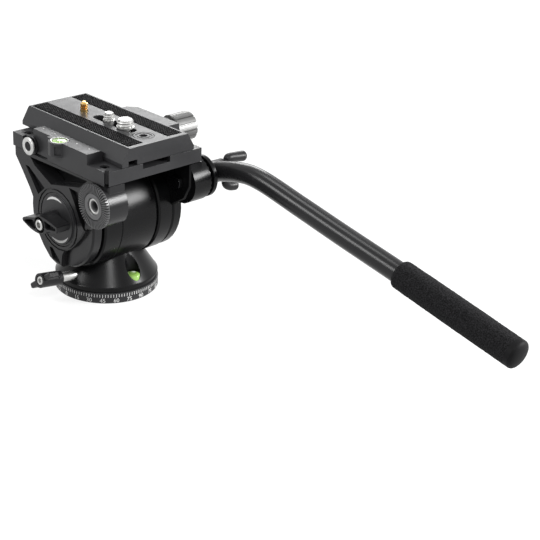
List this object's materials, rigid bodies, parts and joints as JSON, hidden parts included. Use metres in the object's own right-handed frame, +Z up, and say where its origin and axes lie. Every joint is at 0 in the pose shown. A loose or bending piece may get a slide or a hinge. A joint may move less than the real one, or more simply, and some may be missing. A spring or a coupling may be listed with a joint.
{
  "type": "fluid video head",
  "caption": "Fluid pan and tilt head with a sliding dovetail camera plate, counterbalanced drum, wing locks, bubble levels and a bent pan handle with a foam grip.",
  "frame": {"origin": "centre of the tripod thread in the underside of the base, on the pan axis", "axes": "+Z up along the pan axis, +Y the way the lens points, +X to the operator's right, where the handle is fitted; the tilt axis runs along X"},
  "size_m": [0.1252, 0.3018, 0.1058],
  "materials": {
    "black_anodised": "black anodised, satin",
    "gloss_black": "black anodised, polished",
    "black_plastic": "moulded",
    "black_rubber": "fine dimples",
    "foam": "closed cell foam",
    "steel": "turned",
    "brass": "turned",
    "nylon": "moulded",
    "level_fluid": "clear vial"
  },
  "bodies": {
    "base": {"base_plate": "black_anodised", "pan_spindle": "steel", "pan_retaining_nut": "steel", "pan_thrust_washer": "nylon", "pan_damper_ring": "nylon"},
    "pan": {"pan_housing": "gloss_black", "counterbalance_cover": "gloss_black", "pan_level_vial": "level_fluid", "pan_brake_shoe": "brass", "tilt_bearing_left": "steel", "tilt_bearing_right": "steel", "tilt_damper_stator": "nylon"},
    "pan_lock": {"pan_lock_shaft": "steel", "pan_lock_knob": "black_plastic", "pan_lock_screw": "steel"},
    "tilt": {"left_arm": "black_anodised", "right_arm": "gloss_black", "right_end_cap": "black_anodised", "tilt_shaft": "steel", "tilt_damper_rotor": "nylon", "counterbalance_spring": "steel", "tilt_brake_pad": "nylon", "left_rosette": "black_anodised", "left_rosette_bush": "steel", "handle_bolt": "steel", "clamp_base": "black_anodised", "deck_screw_left_back": "steel", "deck_screw_left_front": "steel", "deck_screw_right_back": "steel", "deck_screw_right_front": "steel", "top_level_bezel": "steel", "top_level_vial": "level_fluid", "button_guide": "black_plastic", "lock_dial": "black_anodised", "button_spring": "steel"},
    "tilt_lock": {"tilt_lock_knob": "black_plastic", "tilt_lock_screw": "steel"},
    "release_button": {"release_button": "steel", "release_button_pad": "black_rubber"},
    "jaw": {"moving_jaw": "black_anodised", "jaw_guide_pin_back": "steel", "jaw_guide_pin_front": "steel"},
    "clamp_knob": {"clamp_knob": "steel", "clamp_screw": "steel"},
    "plate": {"camera_plate": "black_anodised", "plate_pad_left": "black_rubber", "plate_pad_right": "black_rubber", "plate_spare_bush": "steel", "video_pin_plug": "steel", "video_pin_spring": "steel"},
    "video_pin": {"video_pin": "brass"},
    "quarter_slider": {"quarter_slider": "steel"},
    "quarter_screw": {"quarter_screw": "steel"},
    "three_eighth_slider": {"three_eighth_slider": "steel"},
    "three_eighth_screw": {"three_eighth_screw": "steel"},
    "handle": {"handle_hub": "black_anodised", "handle_tube": "black_anodised", "foam_grip": "foam", "grip_end_cap": "black_rubber"},
    "handle_lock": {"handle_lock_knob": "black_plastic"}
  },
  "joints": [
    {"name": "pan_turn", "type": "hinge", "parent": "base", "child": "pan", "pos_m": [0, 0, 0], "axis": [0, 0, 1], "continuous": true},
    {"name": "pan_lock_turn", "type": "hinge", "parent": "pan", "child": "pan_lock", "pos_m": [-0.027, -0.0035, 0.0131], "axis": [-0.989, 0, 0.1478], "range_deg": [-60, 60]},
    {"name": "tilt_turn", "type": "hinge", "parent": "pan", "child": "tilt", "pos_m": [0, 0, 0.04825], "axis": [1, 0, 0], "range_deg": [-90, 75]},
    {"name": "tilt_lock_turn", "type": "hinge", "parent": "tilt", "child": "tilt_lock", "pos_m": [0, 0, 0.04825], "axis": [-1, 0, 0], "range_deg": [-60, 60]},
    {"name": "button_press", "type": "slide", "parent": "tilt", "child": "release_button", "axis": [1, 0, 0], "range_m": [0, 0.0012], "stiffness_N_per_m": 400, "deforming": ["button_spring"]},
    {"name": "jaw_slide", "type": "slide", "parent": "tilt", "child": "jaw", "axis": [1, 0, 0], "range_m": [0, 0.00299]},
    {"name": "clamp_knob_turn", "type": "hinge", "parent": "jaw", "child": "clamp_knob", "pos_m": [0.0413, -0.0055, 0.0866], "axis": [1, 0, 0], "range_deg": [0, 720]},
    {"name": "plate_slide", "type": "slide", "parent": "tilt", "child": "plate", "axis": [0, 1, 0], "range_m": [-0.02, 0.02]},
    {"name": "video_pin_press", "type": "slide", "parent": "plate", "child": "video_pin", "axis": [0, 0, -1], "range_m": [0, 0.003], "stiffness_N_per_m": 300, "deforming": ["video_pin_spring"]},
    {"name": "quarter_slide", "type": "slide", "parent": "plate", "child": "quarter_slider", "axis": [0, 1, 0], "range_m": [-0.001, 0.006]},
    {"name": "quarter_turn", "type": "hinge", "parent": "quarter_slider", "child": "quarter_screw", "pos_m": [-0.001, -0.0037, 0.1001], "axis": [0, 0, 1], "continuous": true},
    {"name": "three_eighth_slide", "type": "slide", "parent": "plate", "child": "three_eighth_slider", "axis": [0, 1, 0], "range_m": [-0.002, 0.001]},
    {"name": "three_eighth_turn", "type": "hinge", "parent": "three_eighth_slider", "child": "three_eighth_screw", "pos_m": [-0.001, -0.018, 0.1001], "axis": [0, 0, 1], "continuous": true},
    {"name": "handle_turn", "type": "hinge", "parent": "tilt", "child": "handle", "pos_m": [0, -0.0366, 0.0686], "axis": [1, 0, 0], "range_deg": [-60, 60]},
    {"name": "handle_lock_turn", "type": "hinge", "parent": "handle", "child": "handle_lock", "pos_m": [0, -0.0366, 0.0686], "axis": [1, 0, 0], "range_deg": [-60, 60]}
  ],
  "couplings": [
    {"joint": "clamp_knob_turn", "follows": "jaw_slide", "rad_per_m": 4188.8}
  ]
}
